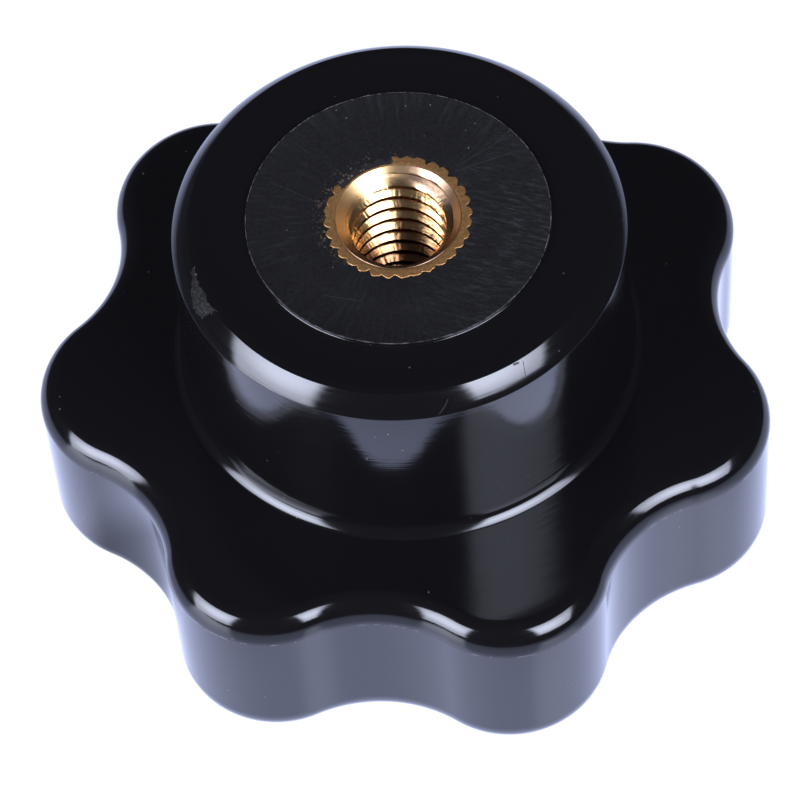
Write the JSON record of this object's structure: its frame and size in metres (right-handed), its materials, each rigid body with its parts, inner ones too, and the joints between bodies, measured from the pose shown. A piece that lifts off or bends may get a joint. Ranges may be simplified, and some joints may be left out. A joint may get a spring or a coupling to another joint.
{
  "type": "star knob",
  "caption": "Moulded star knob with a lobed grip, a round hub and a knurled brass insert with a blind threaded hole in the hub's face.",
  "frame": {"origin": "centre of the grip's flat outer face, on the knob's axis", "axes": "+Z along the knob's axis, from the grip's outer face towards the hub's face and the mouth of the threaded hole; one lobe points 73.3 degrees from +X towards -Y, as the knob lies in the picture"},
  "size_m": [0.039, 0.0392, 0.0231],
  "materials": {
    "phenolic": "gloss black moulded phenolic, machined on the hub's raised disc",
    "brass": "turned brass with a knurled outside"
  },
  "bodies": {
    "root": {"knob_body": "phenolic", "threaded_insert": "brass"}
  },
  "joints": []
}
